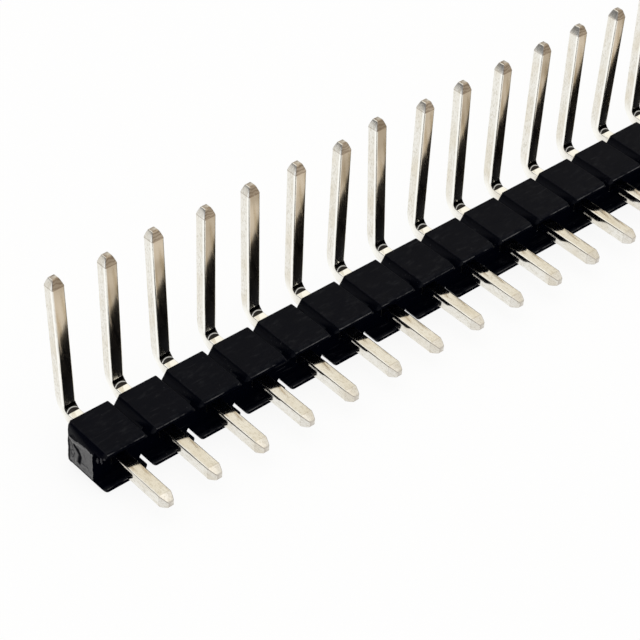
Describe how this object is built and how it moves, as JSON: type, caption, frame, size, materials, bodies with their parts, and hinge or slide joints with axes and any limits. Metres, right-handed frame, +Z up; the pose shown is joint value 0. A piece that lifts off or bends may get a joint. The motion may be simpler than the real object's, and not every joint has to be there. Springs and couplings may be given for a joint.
{
  "type": "pin header strip",
  "caption": "Breakaway single-row pin header strip with straight solder tails in front and long contact posts bent up behind a notched black body.",
  "frame": {"origin": "bottom face of the body, under pin 1 at the snapped end, halfway through the body's depth", "axes": "+X along the strip away from the snapped end, -Y the way the straight tails point, +Z up along the bent posts"},
  "size_m": [0.0508, 0.0079, 0.0083],
  "materials": {
    "body_plastic": "moulded, semi-matt, lightly scuffed",
    "plated_pin": "thin pale bright plating with fine drawn streaks"
  },
  "bodies": {
    "root": {"housing": "body_plastic", "pin_01": "plated_pin", "pin_02": "plated_pin", "pin_03": "plated_pin", "pin_04": "plated_pin", "pin_05": "plated_pin", "pin_06": "plated_pin", "pin_07": "plated_pin", "pin_08": "plated_pin", "pin_09": "plated_pin", "pin_10": "plated_pin", "pin_11": "plated_pin", "pin_12": "plated_pin", "pin_13": "plated_pin", "pin_14": "plated_pin", "pin_15": "plated_pin", "pin_16": "plated_pin", "pin_17": "plated_pin", "pin_18": "plated_pin", "pin_19": "plated_pin", "pin_20": "plated_pin"}
  },
  "joints": []
}
